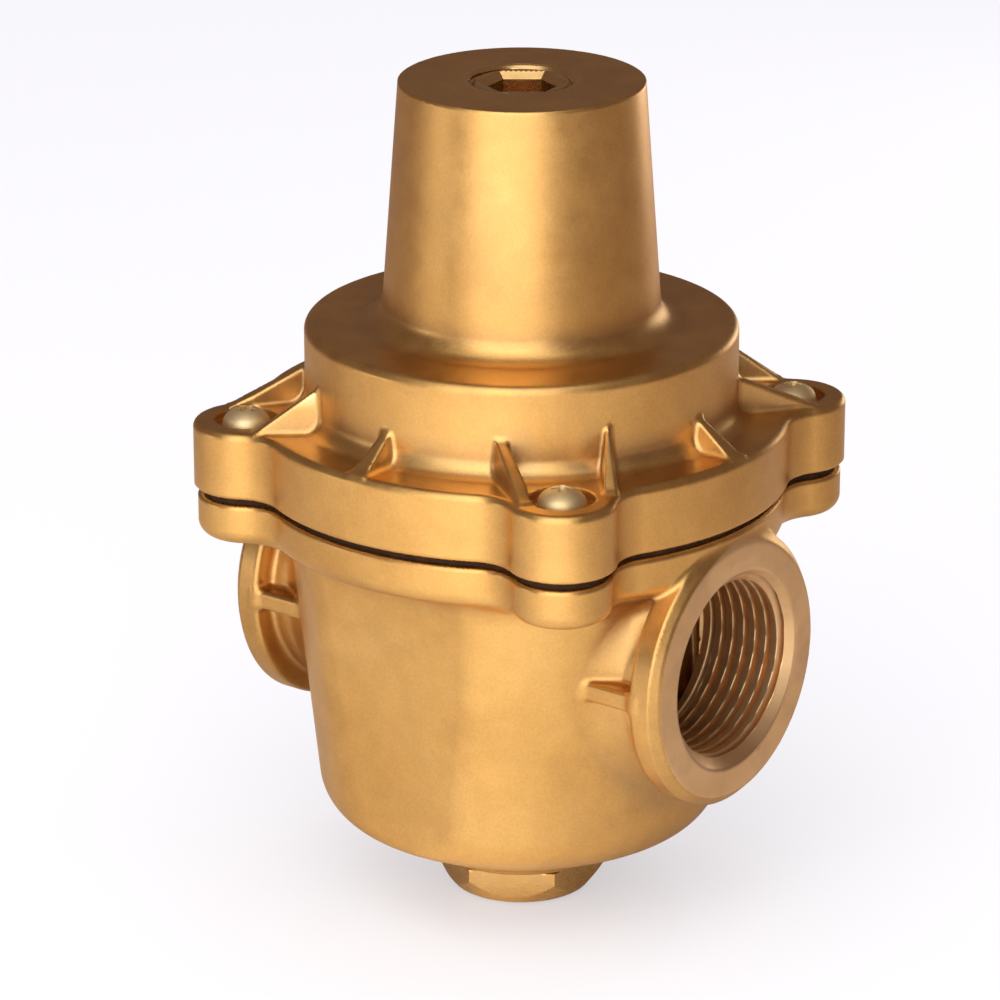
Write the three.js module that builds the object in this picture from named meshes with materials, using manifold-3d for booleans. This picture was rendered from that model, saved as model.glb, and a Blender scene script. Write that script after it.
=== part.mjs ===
// Cast-brass direct-acting diaphragm pressure reducing valve, Rp 1 (DN25) female ends.
// Millimetres. +X is the outlet, -X the inlet, +Z runs up the valve axis, z = 0 is the underside of the bottom plug.
import * as THREE from "three";
import { mergeVertices } from "three/addons/utils/BufferGeometryUtils.js";
import Module from "manifold-3d";

// ---- driving dimensions -------------------------------------------------
const PORT_Z = 50.0; // height of the pipe axis
const PORT_FACE = 45.5; // port face to valve axis (face to face 91)
const COLLAR_R = 23.8; // round collar at each port
const COLLAR_T = 5.6;
const PORT_NECK_R = 19.9;
const THREAD_BORE_R = 15.15; // Rp 1 minor radius
const THREAD_DEPTH = 17.5;
const MOUTH_R = 17.7; // mouth chamfer

const BOWL_TOP_R = 39.8; // bowl radius under the flange
const BOWL_LOW_R = 35.2; // bowl radius where the corner starts
const BOWL_LOW_Z = 21.5;
const BOWL_CORNER = 9;
const BOWL_INNER_R = 31.2;
const BOSS_R = 16.8; // flat the bottom plug seats on
const BOSS_Z = 7.4;

const FLANGE_R = 46; // bonnet flange disc
const EAR_AT = 47.15; // radius the four screws sit on
const EAR_R = 9.1;
const BLEND = 8; // concave blend between disc and ear
const BODY_FLANGE_Z = 67.3;
const SPLIT_LOW = 74.6; // top of the body flange
const SPLIT_HIGH = 76.0; // underside of the bonnet flange
const FLANGE_TOP = 87.7;

const SHOULDER_R = 37;
const SHOULDER_Z = 103.4;
const NECK_LOW_R = 23.6;
const NECK_TOP_R = 20.9;
const TOP_Z = 145.4;
const CHAMBER_R = 17.5; // spring chamber
const CHAMBER_Z = 127;
const DOME_R = 33.5; // space above the diaphragm
const DOME_Z = 99.3;
const SCREW_BORE_R = 8.6; // M18 x 1.5, mean of the thread
const ADJUSTER_R = 8.2;
const ADJUSTER_TOP = 145.0;
const SOCKET_AF = 11;

const SEAT_R = 11.5; // orifice
const SEAT_LIP_Z = 45.2;
const LIFT = 5.6; // open at rest, closes upward
const STEM_R = 6;
const STEM_THREAD_R = 3.9;
const SPRING_WIRE_R = 1.7;
const SPRING_R = 13.4;
const SPRING_LOW = 79.7;
const SPRING_HIGH = 118.6;
const SPRING_TURNS = 7;

// ---- helpers -------------------------------------------------------------
const wasm = await Module();
wasm.setup();

function solid(geometry) {
  const source = geometry.index ? geometry.toNonIndexed() : geometry.clone();
  const bare = new THREE.BufferGeometry().setAttribute(
    "position",
    source.getAttribute("position"),
  );
  const merged = mergeVertices(bare, 1e-4);
  const index = merged.index.array,
    kept = [];
  for (let i = 0; i < index.length; i += 3) {
    const [a, b, c] = [index[i], index[i + 1], index[i + 2]];
    if (a !== b && b !== c && a !== c) kept.push(a, b, c);
  }
  const build = (tri) =>
    new wasm.Manifold(
      new wasm.Mesh({
        numProp: 3,
        vertProperties: merged.attributes.position.array,
        triVerts: new Uint32Array(tri),
      }),
    );
  let made = build(kept);
  if (made.volume() < 0) {
    const turned = [];
    for (let i = 0; i < kept.length; i += 3)
      turned.push(kept[i], kept[i + 2], kept[i + 1]);
    made = build(turned);
  }
  return made;
}

// [r, z] pairs turned about +Z; the profile starts and ends on the axis, or is a closed ring
function turn(points, segments = 40, ring = false) {
  const list = points.map(([r, z]) => new THREE.Vector2(r, z));
  if (ring) list.push(list[0].clone());
  return solid(new THREE.LatheGeometry(list, segments).rotateX(Math.PI / 2));
}
const rod = (r, z0, z1, segments = 32, r1 = r) =>
  turn([[0, z0], [r, z0], [r1, z1], [0, z1]], segments);
const ringOf = (ri, ro, z0, z1, segments = 32) =>
  turn([[ri, z0], [ro, z0], [ro, z1], [ri, z1]], segments, true);

// turned solid laid along +X (side 1) or -X (side -1); profile z becomes distance from the valve axis
function turnX(points, side, segments = 40, ring = false) {
  const list = points.map(([r, x]) => new THREE.Vector2(r, x));
  if (ring) list.push(list[0].clone());
  const g = new THREE.LatheGeometry(list, segments).rotateZ(
    side > 0 ? -Math.PI / 2 : Math.PI / 2,
  );
  return solid(g.translate(0, 0, PORT_Z));
}

function block(x0, x1, y0, y1, z0, z1) {
  return solid(
    new THREE.BoxGeometry(x1 - x0, y1 - y0, z1 - z0).translate(
      (x0 + x1) / 2,
      (y0 + y1) / 2,
      (z0 + z1) / 2,
    ),
  );
}

function prism(points, z0, z1) {
  const shape = new THREE.Shape(points.map(([x, y]) => new THREE.Vector2(x, y)));
  return solid(
    new THREE.ExtrudeGeometry(shape, {
      depth: z1 - z0,
      bevelEnabled: false,
    }).translate(0, 0, z0),
  );
}

// polygon in the X-Z plane carried along Y
function slabY(points, y0, y1) {
  const shape = new THREE.Shape(points.map(([x, z]) => new THREE.Vector2(x, z)));
  return solid(
    new THREE.ExtrudeGeometry(shape, {
      depth: y1 - y0,
      bevelEnabled: false,
    })
      .rotateX(Math.PI / 2)
      .translate(0, y1, 0),
  );
}

const hexagon = (af, turned = 0) => {
  const r = af / Math.sqrt(3),
    points = [];
  for (let i = 0; i < 6; i++) {
    const a = turned + Math.PI / 6 + (i * Math.PI) / 3;
    points.push([r * Math.cos(a), r * Math.sin(a)]);
  }
  return points;
};

// disc with four ears and concave blends between them
function earedOutline(disc, earAt, ear, blend) {
  const reach = disc + blend,
    away = ear + blend;
  const theta = Math.acos(
    (reach * reach + earAt * earAt - away * away) / (2 * earAt * reach),
  );
  const points = [];
  const arc = (cx, cy, r, from, to, steps) => {
    for (let i = 0; i <= steps; i++) {
      const a = from + ((to - from) * i) / steps;
      points.push([cx + r * Math.cos(a), cy + r * Math.sin(a)]);
    }
  };
  for (let q = 0; q < 4; q++) {
    const mid = Math.PI / 4 + (q * Math.PI) / 2;
    const ex = earAt * Math.cos(mid),
      ey = earAt * Math.sin(mid);
    for (const s of [-1, 1]) {
      const b = mid + s * theta;
      const bx = reach * Math.cos(b),
        by = reach * Math.sin(b);
      const toEar = Math.atan2(ey - by, ex - bx);
      let back = b + Math.PI;
      while (back - toEar > Math.PI) back -= 2 * Math.PI;
      while (toEar - back > Math.PI) back += 2 * Math.PI;
      if (s < 0) arc(bx, by, blend, back, toEar, 3);
      const from = mid - (Math.PI - earTurn(bx, by, ex, ey, mid));
      if (s < 0) arc(ex, ey, ear, from, 2 * mid - from, 8);
      if (s > 0) arc(bx, by, blend, toEar, back, 3);
    }
    arc(0, 0, disc, mid + theta, mid + Math.PI / 2 - theta, 6);
  }
  return points.filter(
    ([x, y], i) =>
      i === 0 || Math.hypot(x - points[i - 1][0], y - points[i - 1][1]) > 0.02,
  );
}
// angle at the ear centre between straight inward and the blend centre
function earTurn(bx, by, ex, ey, mid) {
  const a = Math.atan2(by - ey, bx - ex);
  let d = Math.abs(a - (mid + Math.PI));
  while (d > Math.PI) d = Math.abs(d - 2 * Math.PI);
  return d;
}

const ears = [0, 1, 2, 3].map((q) => {
  const a = Math.PI / 4 + (q * Math.PI) / 2;
  return { a, x: EAR_AT * Math.cos(a), y: EAR_AT * Math.sin(a) };
});

const group = new THREE.Group();
group.name = "pressure_reducing_valve";
const MATERIALS = {
  cast_brass: { color: 0xc8964b, metalness: 1, roughness: 0.45 },
  machined_brass: { color: 0xd7a85a, metalness: 1, roughness: 0.25 },
  rubber: { color: 0x1c1b1a, metalness: 0, roughness: 0.75 },
  spring_steel: { color: 0x8f9298, metalness: 1, roughness: 0.35 },
  stainless: { color: 0xb9b7b2, metalness: 1, roughness: 0.28 },
};
function add(name, made, material) {
  const mesh = made.getMesh();
  const n = mesh.numProp;
  const position = new Float32Array(mesh.numVert * 3);
  for (let i = 0; i < mesh.numVert; i++)
    position.set(mesh.vertProperties.subarray(i * n, i * n + 3), i * 3);
  const g = new THREE.BufferGeometry();
  g.setAttribute("position", new THREE.BufferAttribute(position, 3));
  g.setIndex(new THREE.BufferAttribute(new Uint32Array(mesh.triVerts), 1));
  g.computeVertexNormals();
  const m = new THREE.Mesh(g, new THREE.MeshStandardMaterial(MATERIALS[material]));
  m.name = name;
  group.add(m);
  return m;
}

// ---- valve body ----------------------------------------------------------
function bowlProfile() {
  const tilt = Math.atan2(BOWL_TOP_R - BOWL_LOW_R, 64 - BOWL_LOW_Z);
  const cone = (25 * Math.PI) / 180;
  const cx = BOWL_LOW_R - BOWL_CORNER * Math.cos(tilt),
    cz = BOWL_LOW_Z + BOWL_CORNER * Math.sin(tilt);
  const points = [[0, BOSS_Z]];
  const end = Math.PI / 2 - cone;
  const last = [cx + BOWL_CORNER * Math.cos(end), cz - BOWL_CORNER * Math.sin(end)];
  const footR = last[0] - (last[1] - BOSS_Z) / Math.tan(cone);
  points.push([Math.max(BOSS_R, footR), BOSS_Z]);
  for (let i = 0; i <= 6; i++) {
    const a = end + ((tilt - end) * i) / 6;
    points.push([cx + BOWL_CORNER * Math.cos(a), cz - BOWL_CORNER * Math.sin(a)]);
  }
  points.push([BOWL_TOP_R, 64], [BOWL_TOP_R + 0.4, 70], [0, 70]);
  return points;
}
let body = turn(bowlProfile(), 48);
// drafted flats front and back
body = body.intersect(
  slabY([[-60, 0], [60, 0], [60, 71], [-60, 71]], -31.4, 31.4).add(
    solid(
      new THREE.ExtrudeGeometry(
        new THREE.Shape([
          new THREE.Vector2(-31.35, 0),
          new THREE.Vector2(31.35, 0),
          new THREE.Vector2(36.5, 71),
          new THREE.Vector2(-36.5, 71),
        ]),
        { depth: 120, bevelEnabled: false },
      )
        .rotateX(Math.PI / 2)
        .rotateZ(Math.PI / 2)
        .translate(-60, 0, 0),
    ),
  ),
);
// flange with ears
body = body.add(
  prism(earedOutline(FLANGE_R - 0.7, EAR_AT, EAR_R - 0.6, BLEND), BODY_FLANGE_Z, SPLIT_LOW),
);
// ports
for (const side of [1, -1]) {
  const back = PORT_FACE - COLLAR_T;
  body = body.add(
    turnX(
      [
        [0, 15],
        [PORT_NECK_R + 1.5, 15],
        [PORT_NECK_R, 33],
        [PORT_NECK_R, back],
        [COLLAR_R - 0.5, back],
        [COLLAR_R, back + 0.5],
        [COLLAR_R, PORT_FACE - 1.5],
        [COLLAR_R - 1.5, PORT_FACE],
        [0, PORT_FACE],
      ],
      side,
      40,
    ),
  );
  const x0 = side > 0 ? 24 : -(back + 0.5),
    x1 = side > 0 ? back + 0.5 : -24;
  for (const y of [1, -1])
    body = body.add(
      block(x0, x1, y > 0 ? 12 : -23.6, y > 0 ? 23.6 : -12, PORT_Z - 1.8, PORT_Z + 1.8),
    );
}
// inner space, split by the S-shaped partition that carries the seat
const space = turn(
  [
    [0, 12.6],
    [17.5, 12.6],
    [25.5, 16],
    [30.2, 24],
    [BOWL_INNER_R, 36],
    [BOWL_INNER_R, SPLIT_LOW + 1],
    [0, SPLIT_LOW + 1],
  ],
  36,
);
const partition = slabY(
  [
    [-34, 65.6],
    [-24.6, 65.6],
    [-22.2, 46],
    [15.4, 46],
    [19.4, 30],
    [34, 30],
    [34, 33.8],
    [22.6, 33.8],
    [18.6, 50.4],
    [-18.7, 50.4],
    [-21.1, 69.2],
    [-34, 69.2],
  ],
  -34,
  34,
);
let inner = space.subtract(partition);
// seat boss in the partition, plug boss in the floor
inner = inner.subtract(rod(18.6, 45.7, 50.7, 32));
inner = inner.subtract(rod(16.4, 10, 20.5, 32));
body = body.subtract(inner);
body = body.subtract(rod(15.9, 40, 60, 32)); // seat thread hole
body = body.subtract(rod(12.35, 0, 30, 32)); // plug thread hole
for (const side of [1, -1])
  body = body.subtract(
    turnX(
      [
        [0, 26],
        [13.2, 26],
        [THREAD_BORE_R, PORT_FACE - THREAD_DEPTH],
        [THREAD_BORE_R, PORT_FACE - 2.5],
        [MOUTH_R, PORT_FACE],
        [MOUTH_R, PORT_FACE + 5],
        [0, PORT_FACE + 5],
      ],
      side,
      40,
    ),
  );
for (const e of ears)
  body = body.subtract(rod(2.75, 60, 80, 12).translate([e.x, e.y, 0]));
add("valve_body", body, "cast_brass");

// ---- bonnet --------------------------------------------------------------
let bonnet = prism(earedOutline(FLANGE_R, EAR_AT, EAR_R, BLEND), SPLIT_HIGH, FLANGE_TOP);
bonnet = bonnet.add(
  turn(
    [
      [0, SPLIT_HIGH + 1],
      [37.8, SPLIT_HIGH + 1],
      [37.8, FLANGE_TOP + 0.4],
      [SHOULDER_R, FLANGE_TOP + 2.2],
      [SHOULDER_R, SHOULDER_Z - 1.3],
      [SHOULDER_R - 0.5, SHOULDER_Z - 0.35],
      [SHOULDER_R - 1.5, SHOULDER_Z],
      [27, SHOULDER_Z],
      [24.6, SHOULDER_Z + 1.2],
      [NECK_LOW_R, SHOULDER_Z + 4.2],
      [NECK_TOP_R, TOP_Z - 1],
      [NECK_TOP_R - 0.9, TOP_Z],
      [0, TOP_Z],
    ],
    48,
  ),
);
// one gusset in the middle of each side
for (let q = 0; q < 4; q++)
  bonnet = bonnet.add(
    slabY([[34, FLANGE_TOP - 2], [44.6, FLANGE_TOP - 2], [44.6, FLANGE_TOP + 0.2], [36.9, FLANGE_TOP + 5.6], [34, FLANGE_TOP + 5.6]], -1.4, 1.4).rotate([0, 0, q * 90]),
  );
// two cheek ribs and a screw pocket on each ear: a stout low one, and a thin tall one further out
for (const e of ears) {
  const deg = (e.a * 180) / Math.PI;
  bonnet = bonnet.add(
    slabY([[31, FLANGE_TOP - 2], [49.6, FLANGE_TOP - 2], [49.6, FLANGE_TOP + 0.2], [36.4, FLANGE_TOP + 6.2], [31, FLANGE_TOP + 6.2]], -1.2, 1.2)
      .translate([-47, 0, 0])
      .rotate([0, 0, 10])
      .translate([47, -6.5, 0])
      .rotate([0, 0, deg]),
  );
  bonnet = bonnet.add(
    slabY([[31, FLANGE_TOP - 2], [46.6, FLANGE_TOP - 2], [46.6, FLANGE_TOP + 0.2], [36.4, FLANGE_TOP + 7.4], [31, FLANGE_TOP + 7.4]], -0.7, 0.7)
      .translate([-46, 0, 0])
      .rotate([0, 0, -6])
      .translate([46, 8.2, 0])
      .rotate([0, 0, deg]),
  );
  bonnet = bonnet.subtract(rod(5.5, FLANGE_TOP - 1.5, FLANGE_TOP + 20, 20).translate([e.x, e.y, 0]));
  bonnet = bonnet.subtract(rod(2.75, 70, 100, 12).translate([e.x, e.y, 0]));
}
bonnet = bonnet.subtract(
  turn(
    [
      [0, SPLIT_HIGH - 2],
      [DOME_R, SPLIT_HIGH - 2],
      [DOME_R, DOME_Z - 4],
      [DOME_R - 1.4, DOME_Z - 1.2],
      [DOME_R - 4, DOME_Z],
      [CHAMBER_R + 1.5, DOME_Z],
      [CHAMBER_R, DOME_Z + 1.5],
      [CHAMBER_R, CHAMBER_Z],
      [SCREW_BORE_R, CHAMBER_Z],
      [SCREW_BORE_R, TOP_Z - 0.5],
      [SCREW_BORE_R + 0.5, TOP_Z + 0.01],
      [SCREW_BORE_R + 0.5, TOP_Z + 3],
      [0, TOP_Z + 3],
    ],
    36,
  ),
);
add("bonnet", bonnet, "cast_brass");

// ---- diaphragm, clamped between the flanges --------------------------------
let membrane = prism(earedOutline(FLANGE_R - 1.3, EAR_AT, EAR_R - 1.2, BLEND), SPLIT_LOW + 0.02, SPLIT_HIGH - 0.02);
const ROLL_IN = 28,
  ROLL_OUT = 33,
  ROLL_H = 3;
membrane = membrane.subtract(rod(ROLL_OUT, SPLIT_LOW - 1, SPLIT_HIGH + 1, 36));
const top = [],
  low = [];
for (let i = 0; i <= 5; i++) {
  const r = ROLL_OUT + ((ROLL_IN - ROLL_OUT) * i) / 5;
  const h = ROLL_H * Math.sin((Math.PI * i) / 5);
  top.push([r, SPLIT_HIGH - 0.02 + h]);
  low.push([r, SPLIT_LOW + 0.02 + h]);
}
membrane = membrane.add(
  turn(
    [[4.4, SPLIT_LOW + 0.02], ...low.reverse(), [ROLL_OUT + 0.6, SPLIT_LOW + 0.02], [ROLL_OUT + 0.6, SPLIT_HIGH - 0.02], ...top, [4.4, SPLIT_HIGH - 0.02]],
    32,
    true,
  ),
);
for (const e of ears)
  membrane = membrane.subtract(rod(2.9, 60, 80, 12).translate([e.x, e.y, 0]));
add("diaphragm", membrane, "rubber");

// ---- bonnet screws ---------------------------------------------------------
const HEAD_LOW = FLANGE_TOP - 1.45;
ears.forEach((e, i) => {
  let screw = turn(
    [
      [0, 68.6],
      [2, 68.6],
      [2.45, 69.1],
      [2.45, HEAD_LOW],
      [4.1, HEAD_LOW],
      [4.25, HEAD_LOW + 1.2],
      [3.9, HEAD_LOW + 2.1],
      [3.0, HEAD_LOW + 2.9],
      [1.7, HEAD_LOW + 3.3],
      [0, HEAD_LOW + 3.45],
    ],
    16,
  );
  for (const turned of [0, 90])
    screw = screw.subtract(
      block(-1.9, 1.9, -0.5, 0.5, HEAD_LOW + 1.8, HEAD_LOW + 6).rotate([0, 0, turned + 20 + 35 * i]),
    );
  add("bonnet_screw_" + (i + 1), screw.translate([e.x, e.y, 0]), "stainless");
});

// ---- adjusting screw and upper spring seat ---------------------------------
let adjuster = turn(
  [
    [0, 123.3],
    [2.2, 124.4],
    [5.2, 124.9],
    [ADJUSTER_R - 0.8, 124.9],
    [ADJUSTER_R, 125.7],
    [ADJUSTER_R, ADJUSTER_TOP - 0.8],
    [ADJUSTER_R - 0.8, ADJUSTER_TOP],
    [0, ADJUSTER_TOP],
  ],
  30,
);
adjuster = adjuster.subtract(prism(hexagon(SOCKET_AF, 0.12), ADJUSTER_TOP - 9, ADJUSTER_TOP + 2));
add("adjusting_screw", adjuster, "machined_brass");

add(
  "upper_spring_seat",
  turn(
    [
      [0, 114.4],
      [9.6, 114.4],
      [10.8, 115.4],
      [10.8, SPRING_HIGH + 0.1],
      [15.4, SPRING_HIGH + 0.1],
      [16.2, SPRING_HIGH + 0.9],
      [16.2, 123.2],
      [15.2, 124.2],
      [2.6, 124.2],
      [0, 122.9],
    ],
    32,
  ),
  "machined_brass",
);

// ---- main spring -------------------------------------------------------------
class Coil extends THREE.Curve {
  getPoint(t, out = new THREE.Vector3()) {
    const dead = 0.14; // closed turn at each end
    const low = SPRING_LOW + SPRING_WIRE_R,
      high = SPRING_HIGH - SPRING_WIRE_R,
      flat = 2 * SPRING_WIRE_R + 0.15;
    let z;
    if (t < dead) z = low + (flat * t) / dead;
    else if (t > 1 - dead) z = high - (flat * (1 - t)) / dead;
    else z = low + flat + ((high - low - 2 * flat) * (t - dead)) / (1 - 2 * dead);
    const a = t * SPRING_TURNS * 2 * Math.PI;
    return out.set(SPRING_R * Math.cos(a), SPRING_R * Math.sin(a), z);
  }
}
const wire = new THREE.Shape();
for (let i = 0; i < 6; i++) {
  const a = (i * Math.PI) / 3;
  const p = [SPRING_WIRE_R * Math.cos(a), SPRING_WIRE_R * Math.sin(a)];
  i ? wire.lineTo(...p) : wire.moveTo(...p);
}
let spring = solid(
  new THREE.ExtrudeGeometry(wire, { steps: 7 * 12, extrudePath: new Coil(), bevelEnabled: false }),
);
// ground flat ends
spring = spring.intersect(rod(30, SPRING_LOW + 0.5, SPRING_HIGH - 0.5, 24));
add("main_spring", spring, "spring_steel");

// ---- stem group: rises to close ----------------------------------------------
add(
  "valve_stem",
  turn(
    [
      [0, 13],
      [3.1, 13],
      [STEM_THREAD_R, 13.8],
      [STEM_THREAD_R, 44.7],
      [STEM_R, 44.7],
      [STEM_R, 71.7],
      [STEM_THREAD_R, 71.7],
      [STEM_THREAD_R, 88.2],
      [3.1, 89],
      [0, 89],
    ],
    24,
  ),
  "stainless",
);
const SEAL_TOP = SEAT_LIP_Z - LIFT - 0.25;
add(
  "valve_disc",
  turn(
    [
      [4.15, 30.2],
      [10, 30.2],
      [14.2, 33.2],
      [14.2, SEAL_TOP - 0.9],
      [13.7, SEAL_TOP - 0.9],
      [13.7, SEAL_TOP - 3.6],
      [4.15, SEAL_TOP - 3.6],
    ],
    32,
    true,
  ),
  "machined_brass",
);
add("disc_seal", ringOf(6.3, 13.4, SEAL_TOP - 3.55, SEAL_TOP, 48), "rubber");
add(
  "disc_retainer",
  turn(
    [
      [4.15, SEAL_TOP - 3.5],
      [6.0, SEAL_TOP - 3.5],
      [6.0, SEAL_TOP + 0.1],
      [9.4, SEAL_TOP + 0.1],
      [9.4, SEAL_TOP + 1.2],
      [7.6, SEAL_TOP + 5.2],
      [4.15, SEAL_TOP + 5.2],
    ],
    28,
    true,
  ),
  "machined_brass",
);
function nut(z0, h, af) {
  const bevel = af * 0.577;
  return prism(hexagon(af), z0, z0 + h)
    .intersect(
      turn(
        [
          [0, z0],
          [bevel * 0.9, z0],
          [bevel * 1.01, z0 + 0.9],
          [bevel * 1.01, z0 + h - 0.9],
          [bevel * 0.9, z0 + h],
          [0, z0 + h],
        ],
        24,
      ),
    )
    .subtract(rod(4.15, z0 - 1, z0 + h + 1, 20));
}
add("disc_nut", nut(23.6, 6.5, 13), "stainless");
add(
  "diaphragm_washer",
  turn(
    [
      [4.15, 71.8],
      [22, 71.8],
      [26.4, 73.2],
      [26.6, SPLIT_LOW - 0.1],
      [4.15, SPLIT_LOW - 0.1],
    ],
    32,
    true,
  ),
  "machined_brass",
);
add(
  "diaphragm_plate",
  turn(
    [
      [4.15, SPLIT_HIGH + 0.1],
      [26.2, SPLIT_HIGH + 0.1],
      [26.8, SPLIT_HIGH + 0.7],
      [26.8, SPRING_LOW - 0.8],
      [26.3, SPRING_LOW - 0.3],
      [17.9, SPRING_LOW - 0.3],
      [17.9, SPRING_LOW + 1.7],
      [16.1, SPRING_LOW + 1.7],
      [15.8, SPRING_LOW + 0.1],
      [4.15, SPRING_LOW + 0.1],
    ],
    32,
    true,
  ),
  "machined_brass",
);
add("stem_nut", nut(SPRING_LOW + 0.2, 6.5, 13), "stainless");

// ---- seat ring screwed into the partition ---------------------------------------
let seat = turn(
  [
    [SEAT_R, SEAT_LIP_Z + 0.6],
    [SEAT_R + 0.5, SEAT_LIP_Z],
    [SEAT_R + 1.2, SEAT_LIP_Z],
    [SEAT_R + 1.9, SEAT_LIP_Z + 0.9],
    [15.3, SEAT_LIP_Z + 0.9],
    [15.55, SEAT_LIP_Z + 1.3],
    [15.55, 50.8],
    [18.1, 50.8],
    [18.1, 53],
    [17.6, 53.5],
    [SEAT_R + 0.7, 53.5],
    [SEAT_R, 52.8],
  ],
  32,
  true,
);
for (const turned of [0, 90])
  seat = seat.subtract(block(-20, 20, -1.6, 1.6, 52.1, 55).rotate([0, 0, turned + 45]));
add("seat_ring", seat, "machined_brass");

// ---- bottom plug and its sealing ring --------------------------------------------
const PLUG_TOP = BOSS_Z - 1; // head 6.4 high
let plug = prism(hexagon(26), 0, PLUG_TOP);
plug = plug.intersect(
  turn(
    [
      [0, 0],
      [12, 0],
      [13.4, 1.5],
      [15.1, 3.9],
      [15.1, PLUG_TOP - 0.5],
      [14.7, PLUG_TOP],
      [0, PLUG_TOP],
    ],
    36,
  ),
);
plug = plug.add(
  turn(
    [
      [0, 5],
      [11.2, 5],
      [11.2, 10.4],
      [12, 11.2],
      [12, 21.2],
      [11.2, 22],
      [0, 22],
    ],
    28,
  ),
);
plug = plug.subtract(rod(4.3, 7, 30, 20));
add("bottom_plug", plug, "machined_brass");
add("bottom_plug_seal", ringOf(11.6, 14.3, PLUG_TOP + 0.05, BOSS_Z - 0.05, 28), "rubber");

export default group;
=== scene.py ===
import math
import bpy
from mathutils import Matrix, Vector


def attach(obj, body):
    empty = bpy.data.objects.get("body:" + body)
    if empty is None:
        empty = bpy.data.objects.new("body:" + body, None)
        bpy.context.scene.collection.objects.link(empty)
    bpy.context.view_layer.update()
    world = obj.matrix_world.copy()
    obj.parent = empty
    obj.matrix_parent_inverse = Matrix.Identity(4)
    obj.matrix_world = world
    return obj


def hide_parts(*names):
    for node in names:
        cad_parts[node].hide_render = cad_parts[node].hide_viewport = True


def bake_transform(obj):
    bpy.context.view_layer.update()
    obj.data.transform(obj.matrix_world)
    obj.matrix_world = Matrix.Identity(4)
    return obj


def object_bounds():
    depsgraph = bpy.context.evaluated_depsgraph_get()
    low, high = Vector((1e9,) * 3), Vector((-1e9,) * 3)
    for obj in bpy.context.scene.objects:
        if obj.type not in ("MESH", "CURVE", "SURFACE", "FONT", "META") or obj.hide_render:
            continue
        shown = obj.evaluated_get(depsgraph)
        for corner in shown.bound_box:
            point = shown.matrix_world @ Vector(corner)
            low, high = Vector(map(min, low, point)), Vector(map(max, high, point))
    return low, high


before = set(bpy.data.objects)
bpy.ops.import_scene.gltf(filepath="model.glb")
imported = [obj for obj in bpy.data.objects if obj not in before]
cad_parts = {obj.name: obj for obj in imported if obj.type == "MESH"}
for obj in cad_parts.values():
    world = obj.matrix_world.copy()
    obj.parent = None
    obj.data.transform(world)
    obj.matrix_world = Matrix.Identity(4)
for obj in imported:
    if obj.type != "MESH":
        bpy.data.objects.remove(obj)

from concurrent.futures import ThreadPoolExecutor

import bpy
import numpy as np
from mathutils import Matrix, Vector

CAD_LO, CAD_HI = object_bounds()
F = np.float32
S2 = F(math.sqrt(0.5))

# ------------------------------------------------------------------ distance field tools (millimetres)


def ln(a, b):
    return np.sqrt(a * a + b * b)


def ru(a, b, r):
    """union with a concave fillet of radius r"""
    r = F(r)
    return np.maximum(r, np.minimum(a, b)) - ln(np.maximum(r - a, 0), np.maximum(r - b, 0))


def ri(a, b, r):
    """intersection with an edge rounded to radius r"""
    r = F(r)
    return np.minimum(-r, np.maximum(a, b)) + ln(np.maximum(a + r, 0), np.maximum(b + r, 0))


def ci(a, b, c):
    """intersection with an edge chamfered by c"""
    return np.maximum(np.maximum(a, b), (a + b + F(c)) * S2)


def mx(*v):
    out = v[0]
    for w in v[1:]:
        out = np.maximum(out, w)
    return out


def split(P):
    x, y, z = P[:, 0], P[:, 1], P[:, 2]
    return x, y, z, np.sqrt(x * x + y * y)


def outline(x, y, disc, at, ear, bl):
    """signed distance to a disc with four ears and concave blends"""
    ax, ay = np.abs(x), np.abs(y)
    u, v = (ax + ay) * S2, np.abs(ax - ay) * S2
    reach, away = disc + bl, ear + bl
    ct = (reach * reach + at * at - away * away) / (2 * at * reach)
    cu, cv = F(reach * ct), F(reach * math.sqrt(1 - ct * ct))
    pu, pv = u - cu, v - cv
    between = ((-cu) * pv + cv * pu > 0) & (-cv * pu - pv * (F(at) - cu) > 0)
    return np.where(
        between,
        F(bl) - ln(pu, pv),
        np.minimum(ln(x, y) - F(disc), ln(u - F(at), v) - F(ear)),
    )


def hexagon(x, y, af):
    ax, ay = np.abs(x), np.abs(y)
    return np.maximum(ax, ax * F(0.5) + ay * F(0.8660254)) - F(af / 2)


def screw_r(phase, low, depth, flat=0.16, top=0.16):
    """radius of a V thread at that phase: low at the root flat, low + depth at the crest flat"""
    w = np.abs(phase - np.floor(phase) - F(0.5)) * 2
    return F(low) + F(depth) * np.clip((w - F(flat)) / F(1 - flat - top), 0, 1)


BLOCK = 8


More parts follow.
